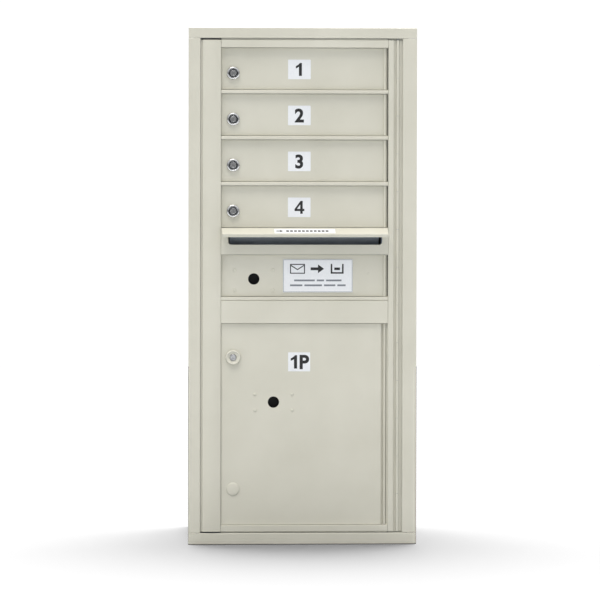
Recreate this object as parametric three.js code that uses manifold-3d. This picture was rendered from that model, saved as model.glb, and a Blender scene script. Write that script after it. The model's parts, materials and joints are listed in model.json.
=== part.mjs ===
// A wall-recessed cluster mailbox unit: one column of four tenant doors, an outgoing mail slot with
// its carrier door, and a parcel door, all carried by one master door that swings on the right.
// Millimetres. +X is right, +Y runs into the wall, +Z is up. The origin is the middle of the wall
// opening's sill, in the plane of the finished wall.
import * as THREE from "three";
import { mergeVertices } from "three/addons/utils/BufferGeometryUtils.js";
import Module from "manifold-3d";

const wasm = await Module();
wasm.setup();

// ---------------------------------------------------------------- driving dimensions
const fit = 0.3; // gap between two pieces that touch
const sheet = 1.6; // cabinet and door sheet

// Cabinet, the box that goes into the wall
const cabinetWidth = 408;
const cabinetHeight = 966;
const cabinetDepth = 412; // behind the wall's face
const lipWidth = 14; // inward lip round the cabinet's mouth
const shelfHem = 8; // turned-down edges of a shelf
const shelfClear = 1.6; // from the latch's strike plate back to the shelves

// Trim round the opening, lying on the wall
const trimOverlap = 17; // how far it covers the wall
const trimThickness = 12;
const trimWall = 2;
const trimFoot = 2.5; // from the cabinet's outside to the trim's foot on the wall
const trimInside = { left: 5.7, right: 10.5, top: 3.2, bottom: 4.7 }; // past the cabinet's outside
const swingGap = { left: 4.3, top: 3.5, bottom: 2.8 }; // from the trim to the master door

// Master door frame
const frameFrontY = -11;
const frameDepth = 24;
const frameWall = 2;
const leftStileWidth = 35.5;
const stileCrown = 2.5; // how far the left stile's face bulges
const stileRearFlange = 10; // what the lock cams catch behind
const rightStileWidth = 10.5;
const topRailHeight = 14.7;
const bottomRailHeight = 12.5;
const weatherFlange = { clear: 0.4, setback: 3, thickness: 1.6 }; // closes the gap to the trim
const dividerHeight = 7;
const dividerSetback = { front: 1.5, back: 3 }; // from the frame's front and back
const panelSetback = 5; // the slot and spacer panels' returns stop short of the frame's back

// The stack of openings, from the top down, in units of one compartment
const pitch = 88.9;
const tenantCount = 4;
const slotUnits = 0.5;
const carrierUnits = 1;
const spacerUnits = 0.5;

// Master door's continuous hinge
const masterHinge = { inset: 20, barrel: 3, bore: 1.9, pin: 1.5, knuckles: 13, gap: 0.5 };
const masterLeaf = { thickness: 1.6, offset: 1.4, setback: 1, clear: 3 }; // offset from the axis
const stileToHinge = 7.6; // from the right stile's outer face to the hinge axis

// Compartment doors
const doorRecess = 10; // behind the frame's face
const parcelRecess = 4.5; // the parcel door's face stands further out
const doorGap = 0.8; // to the opening, at each edge
const doorSetback = 3; // a door's flanges stop short of the frame's back
const doorHinge = { inset: 6.2, beforeFace: 1.5, barrel: 3, bore: 1.9, rod: 1.5 };
const doorValley = 5.9; // between the parcel door's face and its barrel
const hingeStop = { clear: 3.3, thickness: 2, setback: 8, parcelSetback: 5 }; // beside the barrels

// Cam locks
const lock = { inset: 23.8, drop: 49.4, bezel: 12.5, proud: 6.2, body: 9.5, bore: 6.4 };
const parcelBezel = 14.6; // the parcel lock's wider, painted ring
const plug = { radius: 6, proud: 5.4, keyWidth: 2, keyHeight: 8, keyDepth: 3, behindBody: 1.2 };
const plugTail = { side: 6, length: 3.8 };
const cam = { hub: 9, width: 12, reach: 32, thickness: 2, hole: 6.8, clear: 0.5 }; // off the frame
const parcelLockDrop = 65.7; // from the parcel opening's top
const capRise = 70; // blanked lock hole, above the parcel opening's bottom

// Postal lock holes: their place, and the four welded studs round each
const postalHole = 11; // radius
const stud = { radius: 2.5, length: 22, dimple: 3.6, dimpleHeight: 0.6 };
const guard = { width: 90, height: 56, depth: 29, sheet: 1.2 };
const carrierHole = { fromLeft: 64.1, rise: 34.5, studX: 37.3, studZ: 19.4, studDrop: 2.1 };
const parcelHole = { fromLeft: 102.3, fromTop: 152.6, studX: 36, studZ: 15.5, studDrop: 0.4 };
const plate = { fromLeft: 120.6, width: 135.4, above: 9, below: 8.5, thickness: 1.2 };

// Outgoing mail slot, its hood and the baffle behind it
const slot = { fromLeft: 14.1, fromRight: 11.8, height: 20, rise: 19.1, corner: 6 };
const hood = {
  side: 1.5, out: 25.7, drop: 11.6, lip: 5.6, lipSlant: 2, flange: 10, thickness: 1.6,
};
const baffle = { fromLeft: 18.5, fromRight: 15.9, depth: 58, drop: 32, tail: 40, thickness: 1.2 };

// Latch that bolts the master door to the cabinet at three heights
const latchBar = { fromLeft: 8, width: 14, setback: 9, thickness: 3, margin: 22 };
const latchGuide = { belowHook: 50, fromTop: 60, height: 18, sheet: 1.2, overlap: 1 };
const hook = { inset: 5, thickness: 4, neck: 14, tooth: 12, depth: 4.5, clear: 1.1 };
const strike = { thickness: 2.5, width: 38.9, margin: 10, slotSide: 3, slotTop: 2, gap: 0.5 };
const handle = { drop: 32.5, height: 24, clear: 1, thickness: 2, reach: 26, tab: 16 };

// Screw holes in the cabinet's sides, for the wall's studs
const anchor = { radius: 3.5, y: [40, 330], z: [110, 856] };

const gasket = { thickness: 2.4, width: 8, inset: 5 };

// ---------------------------------------------------------------- places worked out from them
const halfWidth = cabinetWidth / 2;
const insideX = halfWidth - sheet; // inner face of the cabinet's sides
const trimFrontY = -trimThickness;
const cabinetFrontY = trimFrontY + trimWall + 0.5;
const masterHingeX = halfWidth - masterHinge.inset;
const masterHingeY = frameFrontY + masterHinge.barrel;
const masterLeft = -halfWidth + trimInside.left + swingGap.left;
const masterRight = masterHingeX - stileToHinge;
const masterTop = cabinetHeight - trimInside.top - swingGap.top;
const masterBottom = trimInside.bottom + swingGap.bottom;
const frameBackY = frameFrontY + frameDepth;
const gasketY = frameBackY + fit;
const lipY = gasketY + gasket.thickness + fit; // front face of the cabinet's lip
const strikeY = lipY + sheet + fit;
const strikeBackY = strikeY + strike.thickness;
const shelfFrontY = strikeBackY + shelfClear;
const weatherY = frameFrontY + weatherFlange.setback;
const openingLeft = masterLeft + leftStileWidth;
const openingRight = masterRight - rightStileWidth;
const stackTop = masterTop - topRailHeight;
const slotTop = stackTop - pitch * tenantCount;
const carrierTop = slotTop - pitch * slotUnits;
const spacerTop = carrierTop - pitch * carrierUnits;
const parcelTop = spacerTop - pitch * spacerUnits;
const parcelBottom = masterBottom + bottomRailHeight;
const doorFaceY = frameFrontY + doorRecess;
const parcelFaceY = frameFrontY + parcelRecess;
const doorHingeY = doorFaceY - doorHinge.beforeFace;
const doorHingeX = openingRight - doorHinge.inset;
const doorLeft = openingLeft + doorGap - doorHingeX; // measured from the door's own hinge
const lockX = openingLeft + lock.inset - doorHingeX;
const latchX = masterLeft + latchBar.fromLeft;
const hookHeights = [
  parcelBottom + (parcelTop - parcelBottom) / 3,
  parcelTop + 17,
  stackTop - pitch * 1.5 - 12,
];
const handleTop = carrierTop - handle.drop;
const latchBarY = frameBackY - latchBar.setback;
const round = 32; // sides of a lock and its hole
const slim = 16; // sides of a hinge barrel, pin or stud

// ---------------------------------------------------------------- finishes
const finish = (color, roughness, metalness) =>
  new THREE.MeshStandardMaterial({ color, roughness, metalness });
const powderCoat = finish(0xcfcdc0, 0.45, 0);
const millAluminium = finish(0xb9bcbd, 0.4, 0.9);
const steel = finish(0x9a9ca0, 0.4, 0.9);
const chrome = finish(0xdcdcdc, 0.12, 1);
const blackPlastic = finish(0x101010, 0.5, 0);
const blackRubber = finish(0x181818, 0.85, 0);
const labelWhite = finish(0xe8e8ea, 0.35, 0);

// ---------------------------------------------------------------- solids
// A closed three.js geometry as a manifold solid.
function solidOf(geometry) {
  const bare = geometry.index ? geometry.toNonIndexed() : geometry.clone();
  bare.deleteAttribute("normal");
  bare.deleteAttribute("uv");
  const merged = mergeVertices(bare, 1e-4);
  return new wasm.Manifold(
    new wasm.Mesh({
      numProp: 3,
      vertProperties: merged.attributes.position.array,
      triVerts: new Uint32Array(merged.index.array),
    }),
  );
}

const joined = (first, ...rest) => rest.reduce((sum, piece) => sum.add(piece), first);
const cutFrom = (solid, ...tools) => tools.reduce((left, tool) => left.subtract(tool), solid);

// A box between two x, two y and two z values.
function box(x0, x1, y0, y1, z0, z1) {
  const geometry = new THREE.BoxGeometry(x1 - x0, y1 - y0, z1 - z0);
  return solidOf(geometry.translate((x0 + x1) / 2, (y0 + y1) / 2, (z0 + z1) / 2));
}

// A shape drawn in x and y, standing from z0 to z1.
function standing(shape, z0, z1) {
  const geometry = new THREE.ExtrudeGeometry(shape, { depth: z1 - z0, bevelEnabled: false });
  return solidOf(geometry.translate(0, 0, z0));
}

const yToX = new THREE.Vector3(0, 1, 0);
const zToY = new THREE.Vector3(0, 0, 1);
const along = new THREE.Vector3(1, 0, 0);

// A shape drawn in y and z, running from x0 to x1.
function running(shape, x0, x1) {
  const geometry = new THREE.ExtrudeGeometry(shape, { depth: x1 - x0, bevelEnabled: false });
  geometry.applyMatrix4(new THREE.Matrix4().makeBasis(yToX, zToY, along));
  return solidOf(geometry.translate(x0, 0, 0));
}

// A shape drawn in x and z, as it is seen from the front, and as thick as from y0 to y1.
function facing(shape, y0, y1) {
  const options = { depth: y1 - y0, bevelEnabled: false, curveSegments: 6 };
  const geometry = new THREE.ExtrudeGeometry(shape, options);
  return solidOf(geometry.rotateX(Math.PI / 2).translate(0, y1, 0));
}

function outline(points) {
  return new THREE.Shape(points.map(([u, v]) => new THREE.Vector2(u, v)));
}

// A rectangle with round corners, for facing().
function roundedOutline(x0, x1, z0, z1, r) {
  const shape = new THREE.Shape();
  shape.absarc(x1 - r, z1 - r, r, 0, Math.PI / 2);
  shape.absarc(x0 + r, z1 - r, r, Math.PI / 2, Math.PI);
  shape.absarc(x0 + r, z0 + r, r, Math.PI, 1.5 * Math.PI);
  shape.absarc(x1 - r, z0 + r, r, 1.5 * Math.PI, 2 * Math.PI);
  return shape;
}

// Cylinders along z and along y.
function upright(x, y, radius, z0, z1, sides = slim) {
  const geometry = new THREE.CylinderGeometry(radius, radius, z1 - z0, sides);
  return solidOf(geometry.rotateX(Math.PI / 2).translate(x, y, (z0 + z1) / 2));
}

function level(x, z, radius, y0, y1, sides = round) {
  const geometry = new THREE.CylinderGeometry(radius, radius, y1 - y0, sides);
  return solidOf(geometry.translate(x, (y0 + y1) / 2, z));
}

// A [radius, y] profile turned about the y axis. It runs out over the front and back along the side.
function turned(profile) {
  const points = profile.map(([radius, y]) => new THREE.Vector2(radius, y));
  return solidOf(new THREE.LatheGeometry(points, round));
}

function piece(name, solid, material) {
  const { vertProperties, triVerts } = solid.getMesh();
  const geometry = new THREE.BufferGeometry();
  geometry.setAttribute("position", new THREE.BufferAttribute(vertProperties, 3));
  geometry.setIndex(new THREE.BufferAttribute(triVerts, 1));
  geometry.computeVertexNormals();
  const mesh = new THREE.Mesh(geometry, material);
  mesh.name = name;
  return mesh;
}

function groupAt(x, y, z, ...children) {
  const group = new THREE.Group();
  group.position.set(x, y, z);
  group.add(...children);
  return group;
}

// ---------------------------------------------------------------- cabinet
function cabinetSide(side) {
  const outer = side * halfWidth;
  const inner = side * insideX;
  const lipEnd = side * (insideX - lipWidth);
  const wall = box(
    Math.min(outer, inner), Math.max(outer, inner), cabinetFrontY, cabinetDepth, 0, cabinetHeight,
  );
  const lip = box(
    Math.min(outer, lipEnd), Math.max(outer, lipEnd), lipY, lipY + sheet,
    sheet + fit, cabinetHeight - sheet - fit,
  );
  const holes = anchor.y.flatMap((y) => anchor.z.map((z) => anchorHole(outer, y, z)));
  return cutFrom(joined(wall, lip), ...holes);
}

function anchorHole(x, y, z) {
  const geometry = new THREE.CylinderGeometry(anchor.radius, anchor.radius, 4 * sheet, slim);
  return solidOf(geometry.rotateZ(Math.PI / 2).translate(x, y, z));
}

function cabinetLid(z0, z1, lipLow, lipHigh) {
  const x = insideX - fit;
  const lipX = insideX - lipWidth - fit;
  const wall = box(-x, x, cabinetFrontY, cabinetDepth, z0, z1);
  return joined(wall, box(-lipX, lipX, lipY, lipY + sheet, lipLow, lipHigh));
}

function cabinetBack() {
  const x = insideX - fit;
  const edge = sheet + fit;
  return box(-x, x, cabinetDepth - sheet, cabinetDepth, edge, cabinetHeight - edge);
}

// A shelf with its front and side edges turned down; its top is at z 0.
function shelf() {
  const x = insideX - fit;
  const back = cabinetDepth - sheet - fit;
  const tray = box(-x, x, shelfFrontY, back, -shelfHem, 0);
  return cutFrom(
    tray,
    box(-x + sheet, x - sheet, shelfFrontY + sheet, back + 1, -shelfHem - 1, -sheet),
  );
}

const underDivider = (z) => z + (dividerHeight + sheet) / 2;

function cabinet() {
  const group = groupAt(
    0, 0, 0,
    piece("cabinet_left_side", cabinetSide(-1), millAluminium),
    piece("cabinet_right_side", cabinetSide(1), millAluminium),
    piece(
      "cabinet_top",
      cabinetLid(cabinetHeight - sheet, cabinetHeight,
        cabinetHeight - sheet - lipWidth, cabinetHeight - sheet),
      millAluminium,
    ),
    piece("cabinet_bottom", cabinetLid(0, sheet, sheet, sheet + lipWidth), millAluminium),
    piece("cabinet_back", cabinetBack(), millAluminium),
    piece("latch_strike", latchStrike(), steel),
    piece("master_gasket", doorGasket(), blackRubber),
  );
  const shelfTops = Array.from({ length: tenantCount }, (_, i) => stackTop - pitch * (i + 1));
  [...shelfTops, parcelTop].forEach((z, i) => {
    const mesh = piece(`shelf_${i + 1}`, shelf(), millAluminium);
    mesh.position.z = underDivider(z);
    group.add(mesh);
  });
  return group;
}

// Steel plate behind the cabinet's left lip, with a slot for each hook.
function latchStrike() {
  const left = -insideX + strike.gap;
  const bar = box(
    left, left + strike.width, strikeY, strikeBackY, strike.margin, cabinetHeight - strike.margin,
  );
  const slotLeft = latchX + hook.inset - strike.slotSide;
  const slots = hookHeights.map((z) =>
    box(
      slotLeft, slotLeft + hook.thickness + 2 * strike.slotSide, strikeY - 1, strikeBackY + 1,
      z - strike.slotTop, z + hook.neck + hook.tooth + strike.slotTop,
    ),
  );
  return cutFrom(bar, ...slots);
}

// Weather seal that the closed master door meets, all the way round.
function doorGasket() {
  const x = insideX - gasket.inset;
  const low = gasket.inset;
  const high = cabinetHeight - gasket.inset;
  const slab = (inset, extra) =>
    box(
      -x + inset, x - inset, gasketY - extra, gasketY + gasket.thickness + extra,
      low + inset, high - inset,
    );
  return cutFrom(slab(0, 0), slab(gasket.width, 1));
}

// ---------------------------------------------------------------- wall trim
// A C section seen from above: front web, outer leg and a foot on the wall.
function sideTrim(side, inside) {
  const outer = side * (halfWidth + trimOverlap);
  const section = outline([
    [outer, 0],
    [outer, trimFrontY],
    [side * (halfWidth - inside), trimFrontY],
    [side * (halfWidth - inside), trimFrontY + trimWall],
    [outer - side * trimWall, trimFrontY + trimWall],
    [outer - side * trimWall, -trimWall],
    [side * (halfWidth + trimFoot), -trimWall],
    [side * (halfWidth + trimFoot), 0],
  ]);
  return standing(section, trimInside.bottom + fit, cabinetHeight - trimInside.top - fit);
}

// The top and bottom trims run the full width and have closed ends. way is +1 for the top.
function endTrim(way, outerZ, innerZ, wallZ) {
  const x = halfWidth + trimOverlap;
  const sorted = (a, b) => [Math.min(a, b), Math.max(a, b)];
  const solid = box(-x, x, trimFrontY, 0, ...sorted(outerZ, innerZ));
  const hollow = box(
    -x + trimWall, x - trimWall, trimFrontY + trimWall, -trimWall,
    ...sorted(outerZ - way * trimWall, innerZ - way * 5),
  );
  const open = sorted(wallZ + way * trimFoot, innerZ - way * 5);
  return cutFrom(solid, hollow, box(-x - 1, x + 1, -trimWall - 1, 1, ...open));
}

function wallTrim() {
  const top = cabinetHeight;
  return groupAt(
    0, 0, 0,
    piece("trim_left", sideTrim(-1, trimInside.left), powderCoat),
    piece("trim_right", sideTrim(1, trimInside.right), powderCoat),
    piece("trim_top", endTrim(1, top + trimOverlap, top - trimInside.top, top), powderCoat),
    piece("trim_bottom", endTrim(-1, -trimOverlap, trimInside.bottom, 0), powderCoat),
  );
}

// ---------------------------------------------------------------- master door's hinge
// One leaf of the continuous hinge. side is +1 for the leaf on the cabinet; own(i) picks its knuckles.
function hingeLeaf(side, legX, own) {
  const legInner = legX - side * masterLeaf.thickness;
  const leg = [Math.min(legX, legInner), Math.max(legX, legInner)];
  const near = masterHingeX + side * masterLeaf.clear;
  const web = [Math.min(near, legX), Math.max(near, legX)];
  const leafY = masterHingeY + masterLeaf.offset;
  const webY = [leafY, leafY + masterLeaf.thickness];
  const step = (masterTop - masterBottom) / masterHinge.knuckles;
  let leaf = joined(
    box(...web, ...webY, masterBottom, masterTop),
    box(...leg, leafY, frameBackY - masterLeaf.setback, masterBottom, masterTop),
  );
  for (let i = 0; i < masterHinge.knuckles; i++) {
    if (!own(i)) continue;
    const z0 = masterBottom + step * i + masterHinge.gap / 2;
    const z1 = z0 + step - masterHinge.gap;
    const root = masterHingeX + side * 1.5;
    const tab = [Math.min(root, near + side), Math.max(root, near + side)];
    leaf = joined(
      leaf,
      upright(masterHingeX, masterHingeY, masterHinge.barrel, z0, z1),
      box(...tab, ...webY, z0, z1),
    );
  }
  const through = upright(
    masterHingeX, masterHingeY, masterHinge.bore, masterBottom - 1, masterTop + 1,
  );
  return cutFrom(leaf, through);
}

const fixedLeaf = () => hingeLeaf(1, insideX - fit, (i) => i % 2 === 0);
const doorLeaf = () => hingeLeaf(-1, masterRight + fit, (i) => i % 2 === 1);

function masterHingePin() {
  const head = upright(
    masterHingeX, masterHingeY, masterHinge.barrel - 0.4, masterTop + fit, masterTop + 1.5,
  );
  const shank = upright(
    masterHingeX, masterHingeY, masterHinge.pin, masterBottom, masterTop + 1,
  );
  return joined(shank, head);
}

// ---------------------------------------------------------------- master door frame
// Left stile: a crowned channel, open at the back for the latch, with a flange for the lock cams.
function leftStile() {
  const right = openingLeft;
  const edgeY = frameFrontY + 1;
  const innerY = edgeY + frameWall;
  const mid = (masterLeft + right) / 2;
  const flangeEnd = right - stileRearFlange;
  const flangeLeft = masterLeft - swingGap.left + weatherFlange.clear;
  const section = new THREE.Shape();
  section.moveTo(masterLeft, frameBackY);
  section.lineTo(masterLeft, weatherY + weatherFlange.thickness);
  section.lineTo(flangeLeft, weatherY + weatherFlange.thickness);
  section.lineTo(flangeLeft, weatherY);
  section.lineTo(masterLeft, weatherY);
  section.lineTo(masterLeft, edgeY);
  section.quadraticCurveTo(mid, edgeY - 2 * stileCrown, right, edgeY);
  section.lineTo(right, frameBackY);
  section.lineTo(flangeEnd, frameBackY);
  section.lineTo(flangeEnd, frameBackY - sheet);
  section.lineTo(right - frameWall, frameBackY - sheet);
  section.lineTo(right - frameWall, innerY);
  section.quadraticCurveTo(mid, innerY - 2 * stileCrown, masterLeft + frameWall, innerY);
  section.lineTo(masterLeft + frameWall, frameBackY);
  return standing(section, masterBottom, masterTop);
}

// Right stile: a tube, with a stop strip beside each door's hinge barrel.
function rightStile() {
  const tube = box(openingRight, masterRight, frameFrontY, frameBackY, masterBottom, masterTop);
  const hollow = box(
    openingRight + frameWall, masterRight - frameWall,
    frameFrontY + frameWall, frameBackY - frameWall, masterBottom - 1, masterTop + 1,
  );
  const stopAt = (low, high, setback) => {
    const y = frameFrontY + setback;
    return box(
      doorHingeX + hingeStop.clear, openingRight + 1, y, y + hingeStop.thickness,
      low + fit, high - fit,
    );
  };
  const stops = [
    stopAt(parcelBottom, parcelTop, hingeStop.parcelSetback),
    stopAt(spacerTop + dividerHeight, carrierTop, hingeStop.setback),
  ];
  for (let i = 0; i < tenantCount; i++) {
    const top = stackTop - pitch * i;
    stops.push(stopAt(top - pitch + dividerHeight, top, hingeStop.setback));
  }
  return joined(cutFrom(tube, hollow), ...stops);
}

const railLeft = openingLeft + fit;
const railRight = openingRight - fit;
const rodHole = (z0, z1) =>
  upright(doorHingeX, doorHingeY, doorHinge.rod + 0.4, z0 - 1, z1 + 1);

// A channel that is open at the back, with a weather flange on its outer edge.
function rail(z0, z1, flangeLow, flangeHigh, holeLow, holeHigh) {
  const channel = cutFrom(
    box(railLeft, railRight, frameFrontY, frameBackY, z0, z1),
    box(
      railLeft - 1, railRight + 1, frameFrontY + frameWall, frameBackY + 1,
      z0 + frameWall, z1 - frameWall,
    ),
  );
  const flange = box(
    railLeft, railRight, weatherY, weatherY + weatherFlange.thickness, flangeLow, flangeHigh,
  );
  return cutFrom(joined(channel, flange), rodHole(holeLow, holeHigh));
}

const topRail = () =>
  rail(stackTop, masterTop, masterTop - 1, masterTop + swingGap.top - weatherFlange.clear,
    stackTop, stackTop + frameWall);
const bottomRail = () =>
  rail(masterBottom, parcelBottom, trimInside.bottom + weatherFlange.clear, masterBottom + 1,
    parcelBottom - frameWall, parcelBottom);

// The bar between two doors, its front edge rounded; its bottom is at z 0.
function divider() {
  const nose = 2;
  const front = frameFrontY + dividerSetback.front;
  const back = frameBackY - dividerSetback.back;
  const section = new THREE.Shape();
  section.moveTo(back, 0);
  section.lineTo(back, dividerHeight);
  section.lineTo(front + nose, dividerHeight);
  section.quadraticCurveTo(front, dividerHeight, front, dividerHeight - nose);
  section.lineTo(front, nose);
  section.quadraticCurveTo(front, 0, front + nose, 0);
  return cutFrom(running(section, railLeft, railRight), rodHole(0, dividerHeight));
}

// A face panel flush with the stiles, its top and bottom edges returned to the back.
function facePanel(z0, z1) {
  const back = frameBackY - panelSetback;
  const block = box(railLeft, railRight, frameFrontY, back, z0, z1);
  const hollow = box(
    railLeft - 1, railRight + 1, frameFrontY + sheet, back + 1, z0 + sheet, z1 - sheet,
  );
  return cutFrom(block, hollow, rodHole(z0, z1));
}

const slotBottom = carrierTop + slot.rise;

function slotPanel() {
  const opening = roundedOutline(
    openingLeft + slot.fromLeft, openingRight - slot.fromRight,
    slotBottom, slotBottom + slot.height, slot.corner,
  );
  const cutter = facing(opening, frameFrontY - 2, frameFrontY + sheet + 2);
  return cutFrom(facePanel(carrierTop, slotTop + dividerHeight), cutter);
}

// Rain hood over the slot: mounting flange, sloping roof and drip lip.
function slotHood() {
  const back = frameFrontY - fit;
  const top = slotTop + dividerHeight;
  const front = back - hood.out;
  const t = hood.thickness;
  const section = outline([
    [back, top - hood.flange],
    [back, top],
    [front, top - hood.drop],
    [front + hood.lipSlant, top - hood.drop - hood.lip],
    [front + t + hood.lipSlant, top - hood.drop - hood.lip],
    [front + t, top - hood.drop - t / 2],
    [back - t, top - t * 1.2],
    [back - t, top - hood.flange],
  ]);
  return running(section, openingLeft + hood.side, openingRight - hood.side);
}

// Bent sheet behind the slot that stops mail being fished out.
function slotBaffle() {
  const t = baffle.thickness;
  const y0 = frameFrontY + sheet + fit;
  const y1 = y0 + baffle.depth;
  const top = slotTop + dividerHeight - sheet - 2;
  const low = top - baffle.drop;
  const section = outline([
    [y0, top],
    [y1 + t, low],
    [y1 + t, low - baffle.tail],
    [y1, low - baffle.tail],
    [y1, low - t],
    [y0, top - t * 1.4],
  ]);
  return running(section, openingLeft + baffle.fromLeft, openingRight - baffle.fromRight);
}

const spacerPanel = () => facePanel(parcelTop, spacerTop - fit);

// One rod runs down the column through every door barrel and divider.
function doorHingeRod() {
  return upright(
    doorHingeX, doorHingeY, doorHinge.rod, masterBottom + frameWall + fit, stackTop + 6,
  );
}

// ---------------------------------------------------------------- latch
function latchHook(z) {
  const x0 = latchX + hook.inset;
  const x1 = x0 + hook.thickness;
  const toothY = strikeBackY + hook.clear;
  const endY = toothY + hook.depth;
  return joined(
    box(x0, x1, latchBarY + latchBar.thickness - 0.5, endY, z, z + hook.neck),
    box(x0, x1, toothY, endY, z + hook.neck - 1, z + hook.neck + hook.tooth),
  );
}

function latchBarSolid() {
  const bar = box(
    latchX, latchX + latchBar.width, latchBarY, latchBarY + latchBar.thickness,
    masterBottom + latchBar.margin, masterTop - latchBar.margin,
  );
  return joined(bar, ...hookHeights.map(latchHook));
}

// Strip with pairs of fingers that the latch bar slides between.
function latchGuideSolid() {
  const left = masterLeft + frameWall + fit;
  const end = latchX + latchBar.width + latchGuide.overlap;
  const front = latchBarY - fit;
  const back = latchBarY + latchBar.thickness + fit;
  const heights = hookHeights.map((z) => z - latchGuide.belowHook);
  heights.push(masterTop - latchGuide.fromTop);
  const t = latchGuide.sheet;
  const strip = box(
    left, left + t, front - t, back + t,
    Math.min(...heights), Math.max(...heights) + latchGuide.height,
  );
  const fingers = heights.flatMap((z) => [
    box(left, end, front - t, front, z, z + latchGuide.height),
    box(left, end, back, back + t, z, z + latchGuide.height),
  ]);
  return joined(strip, ...fingers);
}

// Finger pull on the latch bar, reached through the carrier door.
function latchHandle() {
  const x0 = latchX + latchBar.width - 6;
  const z0 = handleTop - handle.height;
  const stemFront = latchBarY + latchBar.thickness + fit;
  const frontY = frameBackY + handle.clear;
  const backY = frontY + handle.thickness;
  const end = x0 + handle.reach + 6;
  return joined(
    box(x0, x0 + 5, stemFront, backY, z0, handleTop),
    box(x0, end, frontY, backY, z0, handleTop),
    box(end - handle.thickness, end, frontY, frontY + handle.tab, z0, handleTop),
  );
}

// ---------------------------------------------------------------- compartment doors
// A pressed pan with a rolled hinge barrel. Origin: the hinge axis, at the door's bottom edge.
// A face that stands in front of the hinge web steps back to it across a valley.
function doorPan(height, face) {
  const web = doorHinge.beforeFace;
  const back = frameBackY - doorSetback - doorHingeY;
  const faceEnd = -doorHinge.barrel - (face < web ? doorValley : 0) + sheet;
  const pan = box(doorLeft, faceEnd, face, back, 0, height);
  const inside = box(
    doorLeft + sheet, faceEnd - sheet, face + sheet, back + 1, sheet, height - sheet,
  );
  const hingeWeb = box(faceEnd - sheet, -doorHinge.bore, web, web + sheet, 0, height);
  const barrel = upright(0, 0, doorHinge.barrel, 0, height);
  const bore = upright(0, 0, doorHinge.bore, -1, height + 1);
  return cutFrom(joined(cutFrom(pan, inside), hingeWeb, barrel), bore);
}

const lockHole = (x, z, face) => level(x, z, lock.body + 0.3, face - 1, face + sheet + 1);

// Welded studs: a shallow mark on the face and a threaded stud behind.
function studAt(x, z, face) {
  const mark = level(x, z, stud.dimple, face - stud.dimpleHeight, face + 0.5, slim);
  const shank = level(x, z, stud.radius, face + 0.5, face + stud.length, 8);
  return joined(mark, shank);
}

function withPostalHole(door, x, z, face, pattern) {
  const hole = level(x, z, postalHole, face - 2, face + sheet + 1);
  const studs = [-1, 1].flatMap((sx) =>
    [-1, 1].map((sz) =>
      studAt(x + sx * pattern.studX, z - pattern.studDrop + sz * pattern.studZ, face),
    ),
  );
  return cutFrom(joined(door, ...studs), hole);
}

// Black tray behind a postal lock hole, open towards the door. Origin: the hole, on the face.
function lockGuard() {
  const y0 = sheet + fit;
  const y1 = y0 + guard.depth;
  const half = [guard.width / 2, guard.height / 2];
  const tray = box(-half[0], half[0], y0, y1, -half[1], half[1]);
  const t = guard.sheet;
  return cutFrom(
    tray,
    box(-half[0] + t, half[0] - t, y0 - 1, y1 - t, -half[1] + t, half[1] - t),
  );
}

// ---------------------------------------------------------------- cam lock
// Origin of each: the lock's axis, on the door's face. length is the plug's, behind that face.
function lockBody(bezel, length) {
  const back = length - plug.behindBody;
  return turned([
    [lock.bore, -lock.proud],
    [bezel - 3.2, -lock.proud],
    [bezel - 1, -lock.proud + 1.2],
    [bezel, -lock.proud + 3.4],
    [bezel, -fit],
    [lock.body, -fit],
    [lock.body, back],
    [lock.bore, back],
    [lock.bore, -lock.proud],
  ]);
}

function lockPlug(length) {
  const core = turned([
    [0, -plug.proud],
    [plug.radius, -plug.proud],
    [plug.radius, length],
    [0, length],
  ]);
  const half = plugTail.side / 2;
  const tail = box(-half, half, length - 0.5, length + plugTail.length, -half, half);
  const keyway = box(
    -plug.keyWidth / 2, plug.keyWidth / 2, -plug.proud - 1, -plug.proud + plug.keyDepth,
    -plug.keyHeight / 2, plug.keyHeight / 2,
  );
  return cutFrom(joined(core, tail), keyway);
}

// The cam hangs straight down when the lock is open.
function lockCam(length) {
  const shape = new THREE.Shape();
  const half = cam.width / 2;
  shape.absarc(0, 0, cam.hub, 0, Math.PI);
  shape.lineTo(-half, -cam.hub);
  shape.absarc(0, -cam.reach + half, half, Math.PI, 2 * Math.PI);
  shape.lineTo(half, -cam.hub);
  const y0 = length + fit;
  const arm = facing(shape, y0, y0 + cam.thickness);
  const hole = cam.hole / 2;
  return cutFrom(arm, box(-hole, hole, y0 - 1, y0 + cam.thickness + 1, -hole, hole));
}

// The cam turns just behind the frame's back, whatever the door's recess.
function camLock(prefix, x, z, faceY, bezel, bodyFinish) {
  const length = frameBackY + cam.clear - fit - faceY;
  return groupAt(
    x, faceY - doorHingeY, z,
    piece(`${prefix}_lock_body`, lockBody(bezel, length), bodyFinish),
    piece(`${prefix}_lock_plug`, lockPlug(length), chrome),
    piece(`${prefix}_lock_cam`, lockCam(length), steel),
  );
}

// Blanks the parcel door's second lock hole. Origin: the hole, on the face.
function holeCap() {
  return turned([
    [0, -2.6],
    [lock.bezel - 4, -2.4],
    [lock.bezel - 0.6, -1.4],
    [lock.bezel, -fit],
    [lock.body - 1, -fit],
    [lock.body - 1, 6],
    [0, 6],
  ]);
}

// ---------------------------------------------------------------- door units
function tenantDoor(number) {
  const top = stackTop - pitch * (number - 1);
  const bottom = stackTop - pitch * number + dividerHeight;
  const lockZ = top - lock.drop - bottom - doorGap;
  const height = top - bottom - 2 * doorGap;
  const face = doorFaceY - doorHingeY;
  const name = `tenant_door_${number}`;
  return groupAt(
    doorHingeX, doorHingeY, bottom + doorGap,
    piece(name, cutFrom(doorPan(height, face), lockHole(lockX, lockZ, face)), powderCoat),
    camLock(name, lockX, lockZ, doorFaceY, lock.bezel, chrome),
  );
}

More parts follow.
